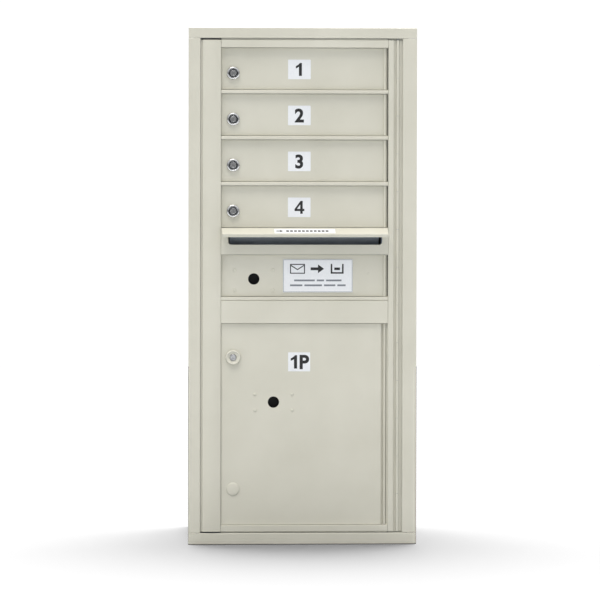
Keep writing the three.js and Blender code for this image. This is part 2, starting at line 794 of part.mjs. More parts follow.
function carrierDoor() {
  const bottom = spacerTop + dividerHeight;
  const height = carrierTop - bottom - 2 * doorGap;
  const edge = openingLeft - doorHingeX;
  const face = doorFaceY - doorHingeY;
  const x = edge + carrierHole.fromLeft;
  const z = carrierHole.rise - doorGap;
  const door = withPostalHole(doorPan(height, face), x, z, face, carrierHole);
  const guardMesh = piece("carrier_lock_guard", lockGuard(), blackPlastic);
  guardMesh.position.set(x, face, z - carrierHole.studDrop);
  const plateX = edge + plate.fromLeft;
  const label = box(
    plateX, plateX + plate.width, face - fit - plate.thickness, face - fit,
    plate.below - doorGap, height + doorGap - plate.above,
  );
  return groupAt(
    doorHingeX, doorHingeY, bottom + doorGap,
    piece("carrier_door", door, powderCoat),
    guardMesh,
    piece("carrier_label_plate", label, labelWhite),
  );
}

function parcelDoor() {
  const height = parcelTop - parcelBottom - 2 * doorGap;
  const fromTop = (drop) => height + doorGap - drop;
  const face = parcelFaceY - doorHingeY;
  const x = openingLeft - doorHingeX + parcelHole.fromLeft;
  const z = fromTop(parcelHole.fromTop);
  const lockZ = fromTop(parcelLockDrop);
  const capZ = capRise - doorGap;
  const door = cutFrom(
    withPostalHole(doorPan(height, face), x, z, face, parcelHole),
    lockHole(lockX, lockZ, face),
    lockHole(lockX, capZ, face),
  );
  const guardMesh = piece("parcel_lock_guard", lockGuard(), blackPlastic);
  guardMesh.position.set(x, face, z - parcelHole.studDrop);
  const cap = piece("parcel_hole_cap", holeCap(), powderCoat);
  cap.position.set(lockX, face, capZ);
  return groupAt(
    doorHingeX, doorHingeY, parcelBottom + doorGap,
    piece("parcel_door", door, powderCoat),
    guardMesh,
    cap,
    camLock("parcel_door", lockX, lockZ, parcelFaceY, parcelBezel, powderCoat),
  );
}

function masterDoor() {
  const group = groupAt(
    0, 0, 0,
    piece("master_left_stile", leftStile(), powderCoat),
    piece("master_right_stile", rightStile(), powderCoat),
    piece("master_top_rail", topRail(), powderCoat),
    piece("master_bottom_rail", bottomRail(), powderCoat),
    piece("slot_panel", slotPanel(), powderCoat),
    piece("slot_hood", slotHood(), powderCoat),
    piece("slot_baffle", slotBaffle(), steel),
    piece("spacer_panel", spacerPanel(), powderCoat),
    piece("master_hinge_door_leaf", doorLeaf(), powderCoat),
    piece("door_hinge_rod", doorHingeRod(), steel),
    piece("latch_guide", latchGuideSolid(), steel),
    piece("latch_bar", latchBarSolid(), steel),
    piece("latch_handle", latchHandle(), steel),
    carrierDoor(),
    parcelDoor(),
  );
  for (let number = 1; number <= tenantCount; number++) group.add(tenantDoor(number));
  const underDoors = Array.from({ length: tenantCount - 1 }, (_, i) => stackTop - pitch * (i + 1));
  [...underDoors, spacerTop].forEach((z, i) => {
    const mesh = piece(`divider_${i + 1}`, divider(), powderCoat);
    mesh.position.z = z;
    group.add(mesh);
  });
  return group;
}

const mailboxUnit = groupAt(
  0, 0, 0,
  cabinet(),
  wallTrim(),
  groupAt(
    0, 0, 0,
    piece("master_hinge_fixed_leaf", fixedLeaf(), powderCoat),
    piece("master_hinge_pin", masterHingePin(), steel),
  ),
  masterDoor(),
);

export default mailboxUnit;
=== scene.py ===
import json
from math import cos, pi, radians, sin

import bmesh
import bpy
from mathutils import Matrix, Quaternion, Vector

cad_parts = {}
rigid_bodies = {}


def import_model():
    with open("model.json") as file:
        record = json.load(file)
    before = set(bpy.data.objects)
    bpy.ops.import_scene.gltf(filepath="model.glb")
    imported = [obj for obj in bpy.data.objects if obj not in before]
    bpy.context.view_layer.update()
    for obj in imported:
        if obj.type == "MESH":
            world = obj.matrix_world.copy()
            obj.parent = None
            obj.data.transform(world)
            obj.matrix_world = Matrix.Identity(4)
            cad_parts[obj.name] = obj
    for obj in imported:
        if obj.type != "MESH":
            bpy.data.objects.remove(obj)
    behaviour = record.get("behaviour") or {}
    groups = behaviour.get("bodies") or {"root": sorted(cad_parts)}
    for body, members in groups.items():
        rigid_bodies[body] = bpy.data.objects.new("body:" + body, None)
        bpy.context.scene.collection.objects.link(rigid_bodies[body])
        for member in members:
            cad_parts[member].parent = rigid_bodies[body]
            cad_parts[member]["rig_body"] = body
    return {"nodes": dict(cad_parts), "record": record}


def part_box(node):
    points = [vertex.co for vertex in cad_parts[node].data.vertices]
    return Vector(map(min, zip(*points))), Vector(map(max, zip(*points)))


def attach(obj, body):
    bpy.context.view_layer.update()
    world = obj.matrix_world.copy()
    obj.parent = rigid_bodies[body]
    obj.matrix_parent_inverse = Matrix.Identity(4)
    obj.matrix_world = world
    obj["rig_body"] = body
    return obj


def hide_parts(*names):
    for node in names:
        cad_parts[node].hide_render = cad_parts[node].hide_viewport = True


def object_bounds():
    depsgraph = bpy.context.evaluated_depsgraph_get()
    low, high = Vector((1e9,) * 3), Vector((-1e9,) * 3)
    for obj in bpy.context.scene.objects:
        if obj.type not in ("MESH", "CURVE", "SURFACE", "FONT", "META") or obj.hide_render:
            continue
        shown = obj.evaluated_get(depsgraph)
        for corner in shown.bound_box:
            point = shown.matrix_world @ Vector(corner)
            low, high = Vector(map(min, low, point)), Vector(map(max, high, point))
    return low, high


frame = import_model()
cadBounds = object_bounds()
nodes = frame["nodes"]
slotOf = {row["node"]: row["material_slot"] for row in frame["record"]["subparts"]}
mm = 0.001
print("frame loaded:", len(nodes), "nodes")


# Shader maths: a wire is a socket that takes Python's own operators.
class Wire:
    def __init__(self, paint, socket):
        self.paint = paint
        self.socket = socket

    def __add__(self, other):
        return self.paint.maths("ADD", self, other)

    def __sub__(self, other):
        return self.paint.maths("SUBTRACT", self, other)

    def __rsub__(self, other):
        return self.paint.maths("SUBTRACT", other, self)

    def __mul__(self, other):
        return self.paint.maths("MULTIPLY", self, other)

    __radd__ = __add__
    __rmul__ = __mul__


class Paint:
    def __init__(self, name, **constants):
        self.material = bpy.data.materials.new(name)
        self.material.use_nodes = True
        self.tree = self.material.node_tree
        self.shader = self.tree.nodes["Principled BSDF"]
        for socket, value in constants.items():
            self.shader.inputs[socket].default_value = value
        self.place = self.node("ShaderNodeTexCoord", output="Object")

    def node(self, kind, settings=None, sockets=None, output=0):
        made = self.tree.nodes.new(kind)
        for key, value in (settings or {}).items():
            setattr(made, key, value)
        for key, value in (sockets or {}).items():
            self.feed(made.inputs[key], value)
        return Wire(self, made.outputs[output])

    def feed(self, socket, value):
        if isinstance(value, Wire):
            self.tree.links.new(value.socket, socket)
        else:
            socket.default_value = value

    def maths(self, operation, first, second):
        return self.node("ShaderNodeMath", {"operation": operation}, {0: first, 1: second})

    def noise(self, scale, detail=2.0, roughness=0.5, stretch=None):
        place = self.place
        if stretch:
            place = self.node("ShaderNodeMapping", {}, {"Vector": place, "Scale": stretch})
        sockets = {"Vector": place, "Scale": scale, "Detail": detail, "Roughness": roughness}
        return self.node("ShaderNodeTexNoise", {}, sockets)

    def cells(self, scale, output="Distance"):
        return self.node("ShaderNodeTexVoronoi", {}, {"Vector": self.place, "Scale": scale}, output)

    # A pattern's values lie mostly between 0.3 and 0.7, and are spread from low to high.
    def between(self, pattern, low, high):
        span = {"From Min": 0.3, "From Max": 0.7, "To Min": low, "To Max": high}
        return self.node("ShaderNodeMapRange", {}, {"Value": pattern, **span})

    def colours(self, factor, first, second):
        return self.node("ShaderNodeMix", {"data_type": "RGBA"}, {0: factor, 6: first, 7: second}, 2)

    def tones(self, pattern, first, second):
        return self.colours(self.between(pattern, 0, 1), colour(*first), colour(*second))

    def bump(self, height, distance, strength=1.0, normal=None):
        sockets = {"Height": height, "Distance": distance, "Strength": strength}
        if normal:
            sockets["Normal"] = normal
        return self.node("ShaderNodeBump", {}, sockets)

    def finish(self, tone, gloss=None, normal=None):
        links = {"Base Color": tone, "Roughness": gloss, "Normal": normal}
        for socket, wire in links.items():
            if wire:
                self.feed(self.shader.inputs[socket], wire)
        return self.material


def colour(red, green, blue):
    def linear(value):
        value = value / 255
        return value / 12.92 if value <= 0.04045 else ((value + 0.055) / 1.055) ** 2.4

    return (linear(red), linear(green), linear(blue), 1)


# Powder coat: a fine orange peel, a faint unevenness of tone, and gloss that varies a little.
# In each finish a higher pattern number is a finer pattern, and gloss is the range of roughness.
powderCoat = {
    "tone": (206, 204, 191),
    "paler": (210, 208, 195),
    "deeper": (201, 199, 185),
    "drift": 9,
    "speck": 420,
    "wave": 110,
    "peel": 950,
    "peelDepth": 0.012 * mm,
    "patch": 60,
    "gloss": (0.36, 0.5),
}
# Primer on the baffle: matt and blue-grey, and made far paler than a real primer. This is painted
# light that lifts the slot's shade to a lighter, cooler tone.
baffleCoatPaintedFill = {
    **powderCoat,
    "tone": (214, 222, 234),
    "paler": (219, 227, 239),
    "deeper": (207, 215, 227),
    "peel": 700,
    "peelDepth": 0.02 * mm,
    "gloss": (0.6, 0.75),
}


def makePowderCoat(name, settings):
    paint = Paint(name)
    tone = paint.tones(paint.noise(settings["drift"], 3), settings["deeper"], settings["paler"])
    speck = paint.between(paint.noise(settings["speck"], 2), 0, 0.5)
    tone = paint.colours(speck, tone, colour(*settings["tone"]))
    gloss = paint.between(paint.noise(settings["patch"], 4), *settings["gloss"])
    wave = paint.noise(settings["wave"], 1.0)
    peel = paint.noise(settings["peel"], 1.5, 0.4)
    normal = paint.bump(wave, 3 * settings["peelDepth"], 0.5)
    normal = paint.bump(peel, settings["peelDepth"], 0.8, normal)
    return paint.finish(tone, gloss, normal)


# Mill-finish sheet with the mill's rolling lines along the depth.
millSheet = {
    "tone": (198, 200, 201),
    "dull": (182, 185, 187),
    "metallic": 0.65,
    "line": 55,
    "stretch": (14, 0.35, 14),
    "lineDepth": 0.01 * mm,
    "cloud": 7,
    "gloss": (0.3, 0.52),
}


def makeMillSheet(name, settings):
    paint = Paint(name, Metallic=settings["metallic"])
    lines = paint.noise(settings["line"], 6, 0.6, settings["stretch"])
    cloud = paint.noise(settings["cloud"], 4)
    tone = paint.tones(lines * 0.5 + cloud * 0.5, settings["dull"], settings["tone"])
    gloss = paint.between(lines, *settings["gloss"])
    return paint.finish(tone, gloss, paint.bump(lines, settings["lineDepth"], 0.5))


# Zinc plate: small crystals that differ in tone and gloss, under a cool cast.
zincPlate = {
    "tone": (176, 181, 188),
    "deeper": (148, 153, 161),
    "crystal": 260,
    "cloud": 30,
    "cloudDepth": 0.01 * mm,
    "gloss": (0.26, 0.46),
}


def makeZincPlate(name, settings):
    paint = Paint(name, Metallic=1.0)
    crystal = paint.cells(settings["crystal"], "Color")
    grey = paint.node("ShaderNodeRGBToBW", {}, {"Color": crystal})
    cloud = paint.noise(settings["cloud"], 4)
    tone = paint.tones(grey * 0.5 + cloud * 0.5, settings["deeper"], settings["tone"])
    gloss = paint.between(grey, *settings["gloss"])
    return paint.finish(tone, gloss, paint.bump(cloud, settings["cloudDepth"], 0.4))


# Bright plating with hairline scratches.
brightPlate = {
    "tone": (222, 223, 224),
    "worn": (196, 197, 199),
    "hair": 900,
    "stretch": (1, 1, 0.12),
    "hairDepth": 0.004 * mm,
    "rub": 160,
    "gloss": (0.07, 0.2),
}


def makeBrightPlate(name, settings):
    paint = Paint(name, Metallic=1.0)
    hair = paint.noise(settings["hair"], 3, 0.6, settings["stretch"])
    rub = paint.noise(settings["rub"], 3)
    tone = paint.tones(rub, settings["worn"], settings["tone"])
    gloss = paint.between(hair * 0.5 + rub * 0.5, *settings["gloss"])
    return paint.finish(tone, gloss, paint.bump(hair, settings["hairDepth"], 0.5))


# Moulded plastic with a fine spark-eroded grain.
mouldedPlastic = {
    "tone": (24, 24, 25),
    "paler": (38, 38, 39),
    "grain": 1400,
    "grainDepth": 0.02 * mm,
    "cloud": 40,
    "gloss": (0.42, 0.6),
}


def makeMouldedPlastic(name, settings):
    paint = Paint(name)
    grain = paint.noise(settings["grain"], 2)
    tone = paint.tones(paint.noise(settings["cloud"], 3), settings["tone"], settings["paler"])
    gloss = paint.between(grain, *settings["gloss"])
    return paint.finish(tone, gloss, paint.bump(grain, settings["grainDepth"], 0.8))


# Closed-cell strip: open skin cells, quite matt.
sealStrip = {
    "tone": (30, 30, 31),
    "paler": (44, 44, 45),
    "cell": 1100,
    "cellDepth": 0.06 * mm,
    "gloss": (0.75, 0.95),
}


def makeSealStrip(name, settings):
    paint = Paint(name)
    cell = paint.cells(settings["cell"])
    tone = paint.tones(cell, settings["tone"], settings["paler"])
    gloss = paint.between(cell, *settings["gloss"])
    return paint.finish(tone, gloss, paint.bump(cell, settings["cellDepth"]))


# Printed film: smooth, with the faintest fibre in the tone.
printedFilm = {
    "tone": (226, 229, 233),
    "paler": (234, 236, 239),
    "fibre": 700,
    "stretch": (1, 1, 0.3),
    "fibreDepth": 0.004 * mm,
    "patch": 90,
    "gloss": (0.28, 0.4),
}
filmInk = {**printedFilm, "tone": (16, 16, 18), "paler": (30, 30, 33), "gloss": (0.35, 0.5)}
greyInk = {**filmInk, "tone": (112, 118, 126), "paler": (128, 134, 141)}


def makePrintedFilm(name, settings):
    paint = Paint(name)
    fibre = paint.noise(settings["fibre"], 4, 0.6, settings["stretch"])
    tone = paint.tones(fibre, settings["tone"], settings["paler"])
    gloss = paint.between(paint.noise(settings["patch"], 3), *settings["gloss"])
    return paint.finish(tone, gloss, paint.bump(fibre, settings["fibreDepth"]))


paints = {
    "postal_grey_coat": makePowderCoat("postalGreyCoat", powderCoat),
    "baffle_grey": makePowderCoat("baffleGrey", baffleCoatPaintedFill),
    "mill_aluminium": makeMillSheet("millAluminium", millSheet),
    "zinc_steel": makeZincPlate("zincSteel", zincPlate),
    "lock_chrome": makeBrightPlate("lockChrome", brightPlate),
    "black_plastic": makeMouldedPlastic("blackPlastic", mouldedPlastic),
    "seal_rubber": makeSealStrip("sealRubber", sealStrip),
    "label_white": makePrintedFilm("labelWhite", printedFilm),
    "ink": makePrintedFilm("labelInk", filmInk),
    "grey_ink": makePrintedFilm("greyInk", greyInk),
}
print("finishes made:", len(paints))


def finishPiece(name, shape, paint, body):
    mesh = bpy.data.meshes.new(name)
    shape.to_mesh(mesh)
    shape.free()
    mesh.materials.append(paints[paint])
    mesh.shade_smooth()
    made = bpy.data.objects.new(name, mesh)
    bpy.context.scene.collection.objects.link(made)
    weighted = made.modifiers.new("weighted normals", "WEIGHTED_NORMAL")
    weighted.keep_sharp = True
    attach(made, body)
    return made


def replaceNode(name, shape, slot):
    made = finishPiece(f"{name}_finished", shape, slot, nodes[name]["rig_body"])
    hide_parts(name)


def bevelEdges(shape, edges, width, segments):
    bmesh.ops.bevel(
        shape, geom=edges, offset=width, offset_type="OFFSET", affect="EDGES",
        segments=segments, profile=0.5, material=-1, clamp_overlap=True,
    )


# Every sheet part keeps its place and gets the rounded edges that folding and coating give it.
# front is the radius round the face towards the viewer, rest the radius of the other edges.
softEdges = {
    "trim": {"front": 1.1, "rest": 0.35},
    "master_left_stile": {"front": 0.8, "rest": 0.35},
    "master": {"front": 0.9, "rest": 0.35},
    "divider": {"front": 0, "rest": 0.3},
    "slot_panel": {"front": 0.9, "rest": 0.35},
    "slot_hood": {"front": 0.5, "rest": 0.35},
    "spacer": {"front": 0.9, "rest": 0.35},
    "tenant_door": {"front": 0.7, "rest": 0.3},
    "carrier_door": {"front": 0.7, "rest": 0.3},
    "parcel_door": {"front": 0.7, "rest": 0.3},
    "": {"front": 0, "rest": 0.3},
}
# Lengths in millimetres, angles in degrees.
softening = {
    "weld": 0.002, "flatBelow": 0.4, "sharpFrom": 28, "longFrom": 12, "frontDepth": 0.05,
    "frontSteps": 4, "restSteps": 2,
}


def edgesOf(name):
    prefix = max((key for key in softEdges if name.startswith(key)), key=len)
    return softEdges[prefix]


def softCopy(name):
    radii = edgesOf(name)
    shape = bmesh.new()
    shape.from_mesh(nodes[name].data)
    bmesh.ops.remove_doubles(shape, verts=shape.verts, dist=softening["weld"] * mm)
    bmesh.ops.dissolve_limit(
        shape, angle_limit=radians(softening["flatBelow"]), verts=shape.verts, edges=shape.edges
    )
    front = min(vert.co.y for vert in shape.verts) + softening["frontDepth"] * mm

    def sharp(edge):
        return edge.is_manifold and edge.calc_face_angle() > radians(softening["sharpFrom"])

    def onFront(edge):
        long = edge.calc_length() > softening["longFrom"] * mm
        return long and all(vert.co.y < front for vert in edge.verts)

    if radii["front"]:
        edges = [edge for edge in shape.edges if sharp(edge) and onFront(edge)]
        bevelEdges(shape, edges, radii["front"] * mm, softening["frontSteps"])
    edges = [edge for edge in shape.edges if sharp(edge)]
    bevelEdges(shape, edges, radii["rest"] * mm, softening["restSteps"])
    replaceNode(name, shape, slotOf[name])


turnedNodes = [name for name in nodes if name.endswith("_lock_body") or name == "parcel_hole_cap"]
for name in nodes:
    if name not in turnedNodes:
        softCopy(name)
print("sheet parts finished")


def curve(start, control, end, steps=6):
    points = []
    for i in range(steps + 1):
        t = i / steps
        near, mid, far = (1 - t) ** 2, 2 * t * (1 - t), t**2
        points.append(tuple(near * a + mid * b + far * c for a, b, c in zip(start, control, end)))
    return points


turnedWeld = 0.001  # in millimetres, closes the seam and the poles


# A (radius, depth) profile in millimetres, turned about the Y axis through centre.
def spin(profile, centre, steps=48, closed=False):
    shape = bmesh.new()
    verts = [shape.verts.new((radius * mm, depth * mm, 0)) for radius, depth in profile]
    ends = zip(verts, verts[1:] + verts[:1]) if closed else zip(verts, verts[1:])
    edges = [shape.edges.new(pair) for pair in ends]
    bmesh.ops.spin(
        shape, geom=verts + edges, cent=(0, 0, 0), axis=(0, 1, 0), angle=2 * pi,
        steps=steps, use_merge=True,
    )
    bmesh.ops.remove_doubles(shape, verts=shape.verts, dist=turnedWeld * mm)
    bmesh.ops.recalc_face_normals(shape, faces=shape.faces)
    bmesh.ops.translate(shape, verts=shape.verts, vec=centre)
    return shape


def merge(target, source):
    mesh = bpy.data.meshes.new("part")
    source.to_mesh(mesh)
    source.free()
    target.from_mesh(mesh)
    bpy.data.meshes.remove(mesh)
    return target


def lockCentre(node, proud):
    low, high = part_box(node)
    return Vector(((low.x + high.x) / 2, low.y + proud * mm, (low.z + high.z) / 2))


# Cam lock faces: a domed ring that falls away inwards to the plug. Depths are from the door's face.
tenantRing = {
    "radius": 12.5, "crest": 10.3, "proud": 6.2, "edge": 2.8, "dish": 3.4, "bore": 7.3,
    "back": 12.5, "finish": "lock_chrome",
}
parcelRing = {
    "radius": 14.6, "crest": 12.4, "proud": 6.2, "edge": 4.4, "dish": 4.2, "bore": 6.6,
    "back": 18, "finish": "postal_grey_coat",
}
# What both rings share: the threaded body behind, and where the curves begin and bend.
ringShape = {
    "body": 9.5, "gap": 0.25, "lip": 0.3, "dishBend": 2.2, "shoulder": 1, "shoulderDrop": 0.4,
    "flatFrom": 0.6, "flatBend": 0.2, "roundDrop": 0.3, "roundBend": 1,
}


def lockRing(prefix, ring):
    node = f"{prefix}_lock_body"
    bends = ringShape
    outer, crest, bore = ring["radius"], ring["crest"], ring["bore"]
    top, dish = -ring["proud"], -ring["dish"]
    dishEnd = (crest - bends["shoulder"], top + bends["shoulderDrop"])
    roundStart = (crest + bends["shoulder"], top + bends["roundDrop"])
    profile = [(bore, ring["back"]), (bore, dish + bends["lip"])]
    profile += curve((bore + bends["lip"], dish), (crest - bends["dishBend"], dish), dishEnd)
    profile += curve(
        (crest - bends["flatFrom"], top), (crest + bends["flatBend"], top), roundStart, 3
    )
    profile += curve(roundStart, (outer, top + bends["roundBend"]), (outer, top + ring["edge"]))
    profile += [(outer, -bends["gap"]), (bends["body"], -bends["gap"]), (bends["body"], ring["back"])]
    centre = lockCentre(node, ring["proud"])
    replaceNode(node, spin(profile, centre, closed=True), ring["finish"])
    return centre


# Hex nut and washer on the lock's body behind the door, and a screw that holds the cam.
lockNut = {
    "hole": 9.6, "flats": 22, "thick": 4, "chamfer": 0.4, "behind": 2.5,
    "washer": 12.4, "washerThick": 0.6,
}
camScrew = {
    "head": 4.6, "thick": 2.2, "corner": 1.2, "recess": 1.2, "recessDepth": 0.9, "gap": 0.05,
    "steps": 24,
}


def lockFixings(prefix, centre):
    hole, start, rim = lockNut["hole"], lockNut["behind"], lockNut["washer"]
    end = start + lockNut["washerThick"]
    far = end + lockNut["thick"]
    corner = lockNut["flats"] / 2 / cos(pi / 6)
    shape = spin([(hole, start), (rim, start), (rim, end), (hole, end)], centre, closed=True)
    nut = spin([(hole, end), (corner, end), (corner, far), (hole, far)], centre, 6, closed=True)
    sharp = [edge for edge in nut.edges if edge.calc_face_angle() > 1]
    bevelEdges(nut, sharp, lockNut["chamfer"] * mm, 2)
    door = nodes[f"{prefix}_lock_body"]["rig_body"]
    finishPiece(f"{prefix}_lock_nut", merge(shape, nut), "zinc_steel", door)

    radius, thick, recess = camScrew["head"], camScrew["thick"], camScrew["recess"]
    sunk = thick - camScrew["recessDepth"]
    profile = [(0, 0), (radius, 0), (radius, thick / 2)]
    profile += curve((radius, thick / 2), (radius, thick), (radius - camScrew["corner"], thick), 4)
    profile += [(recess, thick), (recess, sunk), (0, sunk)]
    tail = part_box(f"{prefix}_lock_plug")[1].y
    place = Vector((centre.x, tail + camScrew["gap"] * mm, centre.z))
    head = spin(profile, place, camScrew["steps"])
    cam = nodes[f"{prefix}_lock_cam"]["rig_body"]
    finishPiece(f"{prefix}_cam_screw", head, "zinc_steel", cam)


tenantDoors = [f"tenant_door_{number}" for number in range(1, 5)]
for door in tenantDoors:
    lockFixings(door, lockRing(door, tenantRing))
lockFixings("parcel_door", lockRing("parcel_door", parcelRing))

# The cap on the parcel door's spare hole: a low dome with a soft rim.
holeCap = {
    "radius": 12.5, "rise": 2.6, "crownBend": 7, "shoulder": 11.2, "rim": 1.2, "fall": 0.6,
    "stem": 8.5, "depth": 6, "gap": 0.25,
}


def spareHoleCap():
    cap = holeCap
    outer, stem, rise, depth = cap["radius"], cap["stem"], cap["rise"], cap["depth"]
    shoulder = (cap["shoulder"], -cap["rim"] - cap["fall"])
    profile = curve((0, -rise), (cap["crownBend"], -rise), shoulder, 8)
    profile += curve(shoulder, (outer, -cap["rim"]), (outer, -cap["fall"]), 4)
    profile += [(outer, -cap["gap"]), (stem, -cap["gap"]), (stem, depth), (0, depth)]
    shape = spin(profile, lockCentre("parcel_hole_cap", rise))
    replaceNode("parcel_hole_cap", shape, "postal_grey_coat")


spareHoleCap()
print("locks made")

# Low domes: the heads of welded studs and rivets. Each rises along -Y until it is turned.
studHead = {"radius": 3.4, "rise": 1.0, "lift": 0.55}
rivetHead = {"radius": 3.4, "rise": 1.3, "lift": 0}
domeShape = {"fullness": 0.8, "steps": 20}


def dome(head):
    radius, rise = head["radius"], head["rise"]
    profile = curve((0, -rise), (radius * domeShape["fullness"], -rise), (radius, 0), 5)
    profile = [(r, depth - head["lift"]) for r, depth in profile]
    return spin(profile, Vector((0, 0, 0)), domeShape["steps"])


def domesAt(name, places, head, body, slot, turn=Matrix.Identity(4)):
    shape = bmesh.new()
    for place in places:
        one = dome(head)
        bmesh.ops.transform(one, matrix=Matrix.Translation(place) @ turn, verts=one.verts)
        merge(shape, one)
    finishPiece(name, shape, slot, body)


# Four studs round each of the two postal lock holes. They hold the guard behind the hole.
postalHoles = {
    "carrier_door": {"guard": "carrier_lock_guard", "studX": 37.3, "studZ": 19.4},
    "parcel_door": {"guard": "parcel_lock_guard", "studX": 36, "studZ": 15.5},
}
guardSetback = 1.9  # from the door's face to the guard


def postalStuds(door, pattern):
    low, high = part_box(pattern["guard"])
    middle = (low + high) / 2
    y = low.y - guardSetback * mm
    places = [
        Vector((middle.x + sx * pattern["studX"] * mm, y, middle.z + sz * pattern["studZ"] * mm))
        for sx in (-1, 1) for sz in (-1, 1)
    ]
    domesAt(f"{door}_stud_heads", places, studHead, nodes[door]["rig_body"], "postal_grey_coat")


for door, pattern in postalHoles.items():
    postalStuds(door, pattern)

# Four fainter heads on the carrier's door near its hinge.
armHead = {"radius": 2.8, "rise": 0.45, "lift": 0}
armHeadPlaces = ((7, 20.5), (7, 47.5), (7, 70), (35.5, 44))  # from the door's right edge and foot


def armHeads():
    low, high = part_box("carrier_door")
    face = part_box("carrier_lock_guard")[0].y - guardSetback * mm
    places = [Vector((high.x - x * mm, face, low.z + z * mm)) for x, z in armHeadPlaces]
    body = nodes["carrier_door"]["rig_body"]
    domesAt("carrier_arm_heads", places, armHead, body, "postal_grey_coat")


armHeads()

# Rivets through the cabinet's sides, along each shelf and up the back, and along the long hinge.
sideRivets = {
    "belowShelf": 4, "shelfY": (45, 150, 255, 360),
    "backInset": 5, "backFrom": 60, "backPitch": 94, "backCount": 10,
}
hingeRow = {"inset": 1.6, "y": 4, "from": 38, "pitch": 88, "count": 11}


def cabinetRivets(side):
    low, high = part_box(f"cabinet_{side}_side")
    x, angle = (low.x, -90) if side == "left" else (high.x, 90)
    row = sideRivets
    shelves = [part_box(f"shelf_{number}")[1].z - row["belowShelf"] * mm for number in range(1, 6)]
    places = [Vector((x, y * mm, z)) for z in shelves for y in row["shelfY"]]
    back = high.y - row["backInset"] * mm
    heights = [row["backFrom"] + row["backPitch"] * step for step in range(row["backCount"])]
    places += [Vector((x, back, height * mm)) for height in heights]
    turn = Matrix.Rotation(radians(angle), 4, "Z")
    domesAt(f"cabinet_{side}_rivets", places, rivetHead, "cabinet", "mill_aluminium", turn)


def hingeRivets(node, side):
    low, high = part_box(node)
    row = hingeRow
    x = low.x + row["inset"] * mm if side > 0 else high.x - row["inset"] * mm
    heights = [low.z + (row["from"] + row["pitch"] * step) * mm for step in range(row["count"])]
    places = [Vector((x, row["y"] * mm, z)) for z in heights]
    turn = Matrix.Rotation(radians(90 * side), 4, "Z")
    domesAt(f"{node}_rivets", places, rivetHead, nodes[node]["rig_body"], "zinc_steel", turn)


for side in ("left", "right"):
    cabinetRivets(side)
hingeRivets("master_hinge_fixed_leaf", -1)
hingeRivets("master_hinge_door_leaf", 1)
print("studs and rivets made")


def boxInMm(node):
    return [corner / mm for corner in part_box(node)]


thinEdge = {"radius": 0.2, "steps": 2}


# Thin pieces, each between two x, two y and two z values in millimetres.
def thinPieces(name, boxes, body, slot):
    shape = bmesh.new()
    for x0, x1, y0, y1, z0, z1 in boxes:
        size = Matrix.Diagonal(((x1 - x0) * mm, (y1 - y0) * mm, (z1 - z0) * mm, 1))
        middle = Vector(((x0 + x1) / 2, (y0 + y1) / 2, (z0 + z1) / 2)) * mm
        bmesh.ops.create_cube(shape, size=1, matrix=Matrix.Translation(middle) @ size)
    bevelEdges(shape, shape.edges[:], thinEdge["radius"] * mm, thinEdge["steps"])
    finishPiece(name, shape, slot, body)


# Cheeks that close the ends of the slot's passage, in the baffle's coat with its painted light.
slotCheek = {"out": 4.6, "thick": 0.8, "from": 2.2, "to": 52, "above": 2, "below": 12}


def slotCheeks():
    low, high = boxInMm("slot_panel")
    baffleLow, baffleHigh = boxInMm("slot_baffle")
    cheek, thick = slotCheek, slotCheek["thick"]
    left, right = baffleLow.x - cheek["out"], baffleHigh.x + cheek["out"]
    depth = (low.y + cheek["from"], low.y + cheek["to"])
    height = (low.z + cheek["below"], high.z - cheek["above"])
    boxes = [(x0, x1, *depth, *height) for x0, x1 in ((left - thick, left), (right, right + thick))]
    thinPieces("slot_cheeks", boxes, "master_door", "baffle_grey")


# Strips between the trim and the ends of the long hinge.
hingeStrip = {"y": (-4.8, -3.8), "overStile": 10, "fromSide": 4, "gap": 0.5, "underTrim": 3}


def hingeEndStrips():
    low, high = boxInMm("master_right_stile")
    strip = hingeStrip
    width = (high.x - strip["overStile"], boxInMm("cabinet_right_side")[1].x - strip["fromSide"])
    top = (high.z + strip["gap"], boxInMm("trim_top")[0].z + strip["underTrim"])
    bottom = (boxInMm("trim_bottom")[1].z - strip["underTrim"], low.z - strip["gap"])
    boxes = [(*width, *strip["y"], *height) for height in (top, bottom)]
    thinPieces("hinge_end_strips", boxes, "cabinet", "postal_grey_coat")


# A dark strip beside each door's barrel is painted shade: dark rubber set in the gap between the
# barrel and the stile, standing for the shade that falls there.
gapShadeStrip = {"gap": 1.2, "width": 1.5, "y": (-3.3, -3.05), "short": 0.5}


def doorBumpers():
    boxes = []
    for door in (*tenantDoors, "carrier_door"):
        low, high = boxInMm(door)
        left = high.x + gapShadeStrip["gap"]
        height = (low.z + gapShadeStrip["short"], high.z - gapShadeStrip["short"])
        boxes.append((left, left + gapShadeStrip["width"], *gapShadeStrip["y"], *height))
    thinPieces("gap_shade_strips", boxes, "master_door", "seal_rubber")


slotCheeks()
hingeEndStrips()
doorBumpers()
print("small sheets made")


def thicken(shape, thick):
    solid = bmesh.ops.extrude_face_region(shape, geom=shape.faces[:])
    moved = [part for part in solid["geom"] if isinstance(part, bmesh.types.BMVert)]
    bmesh.ops.translate(shape, verts=moved, vec=(0, -thick * mm, 0))
    bmesh.ops.recalc_face_normals(shape, faces=shape.faces)
    return shape


# Stickers and print are made flat in the XZ plane with their front towards -Y.
def flatShape(loops, thick):
    shape = bmesh.new()
    for points in loops:
        verts = [shape.verts.new((x * mm, 0, z * mm)) for x, z in points]
        for pair in zip(verts, verts[1:] + verts[:1]):
            shape.edges.new(pair)
    bmesh.ops.triangle_fill(shape, use_beauty=True, use_dissolve=False, edges=shape.edges)
    return thicken(shape, thick)


